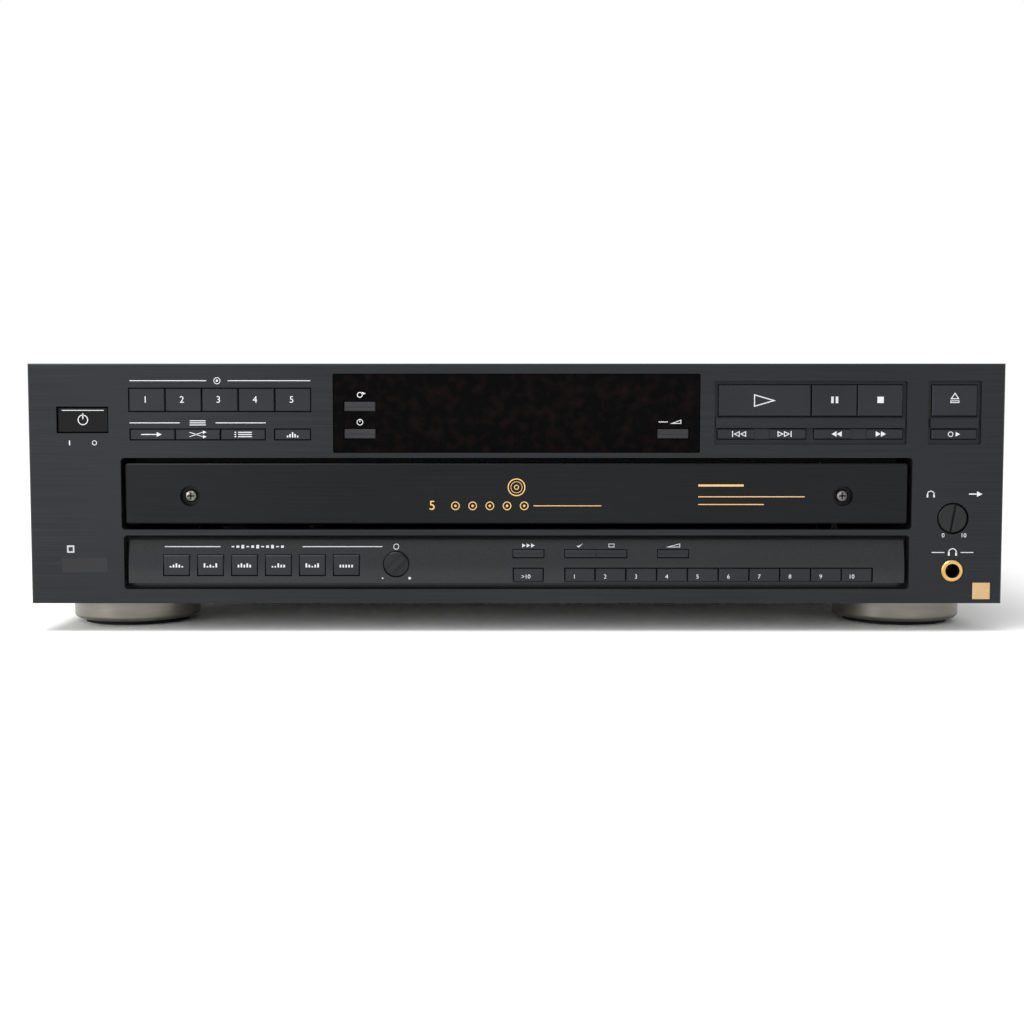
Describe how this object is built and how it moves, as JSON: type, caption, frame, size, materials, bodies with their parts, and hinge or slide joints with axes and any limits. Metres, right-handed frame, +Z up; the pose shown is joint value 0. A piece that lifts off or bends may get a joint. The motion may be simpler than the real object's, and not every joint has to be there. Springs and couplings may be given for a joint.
{
  "type": "multi disc cd changer",
  "caption": "Full-width compact disc changer: low black case, wide front drawer with a rotating disc table, keypad strip, display window and rear sockets.",
  "frame": {"origin": "on the floor under the middle of the width and depth", "axes": "+X right seen from the front, +Y to the rear, +Z up; the front panel faces -Y"},
  "size_m": [0.43, 0.3864, 0.119],
  "materials": {
    "fascia_aluminium": "black brushed and anodised",
    "strip_plastic": "satin dark grey lacquer",
    "key_plastic": "fine satin",
    "window_acrylic": "polished smoked acrylic",
    "cover_steel": "black textured coating",
    "pan_steel": "zinc plated",
    "foot_plastic": "metallic lacquer over a moulded foot, rubber pad",
    "socket_plastic": "moulded, plated contacts",
    "jack_brass": "gold plated ring",
    "board": "solder-masked laminate with parts",
    "transformer_steel": "varnished laminations and winding",
    "tray_plastic": "fine moulded grain",
    "gear_plastic": "natural acetal",
    "frame_plastic": "moulded",
    "motor_steel": "plated can",
    "belt_rubber": "plain",
    "sled_alloy": "die cast"
  },
  "bodies": {
    "cabinet": {"front_panel": "fascia_aluminium", "control_strip": "strip_plastic", "display_window": "window_acrylic", "circuit_boards": "board", "chassis_pan": "pan_steel", "top_cover": "cover_steel", "rear_panel": "cover_steel", "feet": "foot_plastic", "rear_sockets": "socket_plastic", "headphone_jack": "jack_brass", "power_transformer": "transformer_steel", "mechanism_frame": "frame_plastic", "loading_motor": "motor_steel", "loading_belt": "belt_rubber", "clamp_bridge": "pan_steel"},
    "drawer": {"drawer_front": "fascia_aluminium", "drawer_tray": "tray_plastic", "table_motor": "motor_steel"},
    "carousel_table": {"carousel_table": "tray_plastic"},
    "table_pinion": {"table_pinion": "gear_plastic"},
    "loading_gear": {"loading_gear": "gear_plastic"},
    "loading_pulley": {"loading_pulley": "gear_plastic"},
    "lift_cam": {"lift_cam": "gear_plastic"},
    "pickup_base": {"pickup_base": "frame_plastic", "spindle_motor_and_rods": "motor_steel"},
    "pickup_sled": {"pickup_sled": "sled_alloy"},
    "disc_spindle": {"disc_spindle": "frame_plastic"},
    "clamp_puck": {"clamp_puck": "frame_plastic"},
    "power_button": {"power_button": "key_plastic"},
    "level_knob": {"level_knob": "key_plastic"},
    "effect_knob": {"effect_knob": "key_plastic"},
    "track_skip_rocker": {"track_skip_rocker": "key_plastic"},
    "search_rocker": {"search_rocker": "key_plastic"},
    "check_clear_rocker": {"check_clear_rocker": "key_plastic"},
    "disc_key_1": {"disc_key_1": "key_plastic"},
    "disc_key_2": {"disc_key_2": "key_plastic"},
    "disc_key_3": {"disc_key_3": "key_plastic"},
    "disc_key_4": {"disc_key_4": "key_plastic"},
    "disc_key_5": {"disc_key_5": "key_plastic"},
    "play_mode_key_1": {"play_mode_key_1": "key_plastic"},
    "play_mode_key_2": {"play_mode_key_2": "key_plastic"},
    "play_mode_key_3": {"play_mode_key_3": "key_plastic"},
    "peak_search_key": {"peak_search_key": "key_plastic"},
    "repeat_key": {"repeat_key": "key_plastic"},
    "time_key": {"time_key": "key_plastic"},
    "edit_key": {"edit_key": "key_plastic"},
    "play_key": {"play_key": "key_plastic"},
    "pause_key": {"pause_key": "key_plastic"},
    "stop_key": {"stop_key": "key_plastic"},
    "open_close_key": {"open_close_key": "key_plastic"},
    "disc_skip_key": {"disc_skip_key": "key_plastic"},
    "music_scan_key": {"music_scan_key": "key_plastic"},
    "fader_key": {"fader_key": "key_plastic"},
    "track_number_keys": {"track_number_keys": "key_plastic"},
    "sound_field_key_1": {"sound_field_key_1": "key_plastic"},
    "sound_field_key_2": {"sound_field_key_2": "key_plastic"},
    "sound_field_key_3": {"sound_field_key_3": "key_plastic"},
    "sound_field_key_4": {"sound_field_key_4": "key_plastic"},
    "sound_field_key_5": {"sound_field_key_5": "key_plastic"},
    "sound_field_key_6": {"sound_field_key_6": "key_plastic"}
  },
  "joints": [
    {"name": "drawer_slide", "type": "slide", "parent": "cabinet", "child": "drawer", "axis": [0, -1, 0], "range_m": [0, 0.215]},
    {"name": "table_turn", "type": "hinge", "parent": "drawer", "child": "carousel_table", "pos_m": [0, -0.012, 0.058], "axis": [0, 0, 1], "continuous": true},
    {"name": "table_pinion_turn", "type": "hinge", "parent": "drawer", "child": "table_pinion", "pos_m": [0.12869, -0.14069, 0.053], "axis": [0, 0, 1], "continuous": true},
    {"name": "loading_gear_turn", "type": "hinge", "parent": "cabinet", "child": "loading_gear", "pos_m": [-0.132, -0.145, 0.0475], "axis": [0, 0, 1], "range_deg": [-5, 700]},
    {"name": "loading_pulley_turn", "type": "hinge", "parent": "cabinet", "child": "loading_pulley", "pos_m": [-0.095, -0.145, 0.0424], "axis": [0, 0, 1], "range_deg": [-10, 2000]},
    {"name": "lift_cam_slide", "type": "slide", "parent": "cabinet", "child": "lift_cam", "axis": [-1, 0, 0], "range_m": [-0.04, 0]},
    {"name": "pickup_lift", "type": "slide", "parent": "cabinet", "child": "pickup_base", "axis": [0, 0, 1], "range_m": [0, 0.016]},
    {"name": "sled_slide", "type": "slide", "parent": "pickup_base", "child": "pickup_sled", "axis": [0, -1, 0], "range_m": [0, 0.033]},
    {"name": "spindle_turn", "type": "hinge", "parent": "pickup_base", "child": "disc_spindle", "pos_m": [0, 0.092, 0.046], "axis": [0, 0, 1], "continuous": true},
    {"name": "clamp_puck_turn", "type": "hinge", "parent": "cabinet", "child": "clamp_puck", "pos_m": [0, 0.092, 0.066], "axis": [0, 0, 1], "continuous": true},
    {"name": "power_button_press", "type": "slide", "parent": "cabinet", "child": "power_button", "axis": [0, 1, 0], "range_m": [0, 0.003], "stiffness_N_per_m": 400, "springref_m": -0.002},
    {"name": "disc_key_1_press", "type": "slide", "parent": "cabinet", "child": "disc_key_1", "axis": [0, 1, 0], "range_m": [0, 0.001], "stiffness_N_per_m": 500, "springref_m": -0.001},
    {"name": "disc_key_2_press", "type": "slide", "parent": "cabinet", "child": "disc_key_2", "axis": [0, 1, 0], "range_m": [0, 0.001], "stiffness_N_per_m": 500, "springref_m": -0.001},
    {"name": "disc_key_3_press", "type": "slide", "parent": "cabinet", "child": "disc_key_3", "axis": [0, 1, 0], "range_m": [0, 0.001], "stiffness_N_per_m": 500, "springref_m": -0.001},
    {"name": "disc_key_4_press", "type": "slide", "parent": "cabinet", "child": "disc_key_4", "axis": [0, 1, 0], "range_m": [0, 0.001], "stiffness_N_per_m": 500, "springref_m": -0.001},
    {"name": "disc_key_5_press", "type": "slide", "parent": "cabinet", "child": "disc_key_5", "axis": [0, 1, 0], "range_m": [0, 0.001], "stiffness_N_per_m": 500, "springref_m": -0.001},
    {"name": "play_mode_key_1_press", "type": "slide", "parent": "cabinet", "child": "play_mode_key_1", "axis": [0, 1, 0], "range_m": [0, 0.001], "stiffness_N_per_m": 500, "springref_m": -0.001},
    {"name": "play_mode_key_2_press", "type": "slide", "parent": "cabinet", "child": "play_mode_key_2", "axis": [0, 1, 0], "range_m": [0, 0.001], "stiffness_N_per_m": 500, "springref_m": -0.001},
    {"name": "play_mode_key_3_press", "type": "slide", "parent": "cabinet", "child": "play_mode_key_3", "axis": [0, 1, 0], "range_m": [0, 0.001], "stiffness_N_per_m": 500, "springref_m": -0.001},
    {"name": "peak_search_key_press", "type": "slide", "parent": "cabinet", "child": "peak_search_key", "axis": [0, 1, 0], "range_m": [0, 0.001], "stiffness_N_per_m": 500, "springref_m": -0.001},
    {"name": "repeat_key_press", "type": "slide", "parent": "cabinet", "child": "repeat_key", "axis": [0, 1, 0], "range_m": [0, 0.001], "stiffness_N_per_m": 500, "springref_m": -0.001},
    {"name": "time_key_press", "type": "slide", "parent": "cabinet", "child": "time_key", "axis": [0, 1, 0], "range_m": [0, 0.001], "stiffness_N_per_m": 500, "springref_m": -0.001},
    {"name": "edit_key_press", "type": "slide", "parent": "cabinet", "child": "edit_key", "axis": [0, 1, 0], "range_m": [0, 0.001], "stiffness_N_per_m": 500, "springref_m": -0.001},
    {"name": "play_key_press", "type": "slide", "parent": "cabinet", "child": "play_key", "axis": [0, 1, 0], "range_m": [0, 0.001], "stiffness_N_per_m": 500, "springref_m": -0.001},
    {"name": "pause_key_press", "type": "slide", "parent": "cabinet", "child": "pause_key", "axis": [0, 1, 0], "range_m": [0, 0.001], "stiffness_N_per_m": 500, "springref_m": -0.001},
    {"name": "stop_key_press", "type": "slide", "parent": "cabinet", "child": "stop_key", "axis": [0, 1, 0], "range_m": [0, 0.001], "stiffness_N_per_m": 500, "springref_m": -0.001},
    {"name": "open_close_key_press", "type": "slide", "parent": "cabinet", "child": "open_close_key", "axis": [0, 1, 0], "range_m": [0, 0.001], "stiffness_N_per_m": 500, "springref_m": -0.001},
    {"name": "disc_skip_key_press", "type": "slide", "parent": "cabinet", "child": "disc_skip_key", "axis": [0, 1, 0], "range_m": [0, 0.001], "stiffness_N_per_m": 500, "springref_m": -0.001},
    {"name": "music_scan_key_press", "type": "slide", "parent": "cabinet", "child": "music_scan_key", "axis": [0, 1, 0], "range_m": [0, 0.001], "stiffness_N_per_m": 500, "springref_m": -0.001},
    {"name": "fader_key_press", "type": "slide", "parent": "cabinet", "child": "fader_key", "axis": [0, 1, 0], "range_m": [0, 0.001], "stiffness_N_per_m": 500, "springref_m": -0.001},
    {"name": "track_number_keys_press", "type": "slide", "parent": "cabinet", "child": "track_number_keys", "axis": [0, 1, 0], "range_m": [0, 0.001], "stiffness_N_per_m": 500, "springref_m": -0.001},
    {"name": "sound_field_key_1_press", "type": "slide", "parent": "cabinet", "child": "sound_field_key_1", "axis": [0, 1, 0], "range_m": [0, 0.001], "stiffness_N_per_m": 500, "springref_m": -0.001},
    {"name": "sound_field_key_2_press", "type": "slide", "parent": "cabinet", "child": "sound_field_key_2", "axis": [0, 1, 0], "range_m": [0, 0.001], "stiffness_N_per_m": 500, "springref_m": -0.001},
    {"name": "sound_field_key_3_press", "type": "slide", "parent": "cabinet", "child": "sound_field_key_3", "axis": [0, 1, 0], "range_m": [0, 0.001], "stiffness_N_per_m": 500, "springref_m": -0.001},
    {"name": "sound_field_key_4_press", "type": "slide", "parent": "cabinet", "child": "sound_field_key_4", "axis": [0, 1, 0], "range_m": [0, 0.001], "stiffness_N_per_m": 500, "springref_m": -0.001},
    {"name": "sound_field_key_5_press", "type": "slide", "parent": "cabinet", "child": "sound_field_key_5", "axis": [0, 1, 0], "range_m": [0, 0.001], "stiffness_N_per_m": 500, "springref_m": -0.001},
    {"name": "sound_field_key_6_press", "type": "slide", "parent": "cabinet", "child": "sound_field_key_6", "axis": [0, 1, 0], "range_m": [0, 0.001], "stiffness_N_per_m": 500, "springref_m": -0.001},
    {"name": "track_skip_rock", "type": "hinge", "parent": "cabinet", "child": "track_skip_rocker", "pos_m": [0.1081, -0.1875, 0.0881], "axis": [0, 0, 1], "range_deg": [-2.5, 2.5], "stiffness_Nm_per_rad": 0.2},
    {"name": "search_rock", "type": "hinge", "parent": "cabinet", "child": "search_rocker", "pos_m": [0.1508, -0.1875, 0.0881], "axis": [0, 0, 1], "range_deg": [-2.5, 2.5], "stiffness_Nm_per_rad": 0.2},
    {"name": "check_clear_rock", "type": "hinge", "parent": "cabinet", "child": "check_clear_rocker", "pos_m": [0.0352, -0.1875, 0.035], "axis": [0, 0, 1], "range_deg": [-2.5, 2.5], "stiffness_Nm_per_rad": 0.2},
    {"name": "level_knob_turn", "type": "hinge", "parent": "cabinet", "child": "level_knob", "pos_m": [0.193, -0.1895, 0.0508], "axis": [0, -1, 0], "range_deg": [-150, 150]},
    {"name": "effect_knob_turn", "type": "hinge", "parent": "cabinet", "child": "effect_knob", "pos_m": [-0.0534, -0.1895, 0.0304], "axis": [0, -1, 0], "range_deg": [-150, 150]}
  ],
  "couplings": [
    {"joint": "table_pinion_turn", "follows": "table_turn", "ratio": -8.1},
    {"joint": "loading_gear_turn", "follows": "drawer_slide", "rad_per_m": 55.556},
    {"joint": "loading_pulley_turn", "follows": "drawer_slide", "rad_per_m": 158.73},
    {"joint": "pickup_lift", "follows": "lift_cam_slide", "ratio": -0.4}
  ]
}
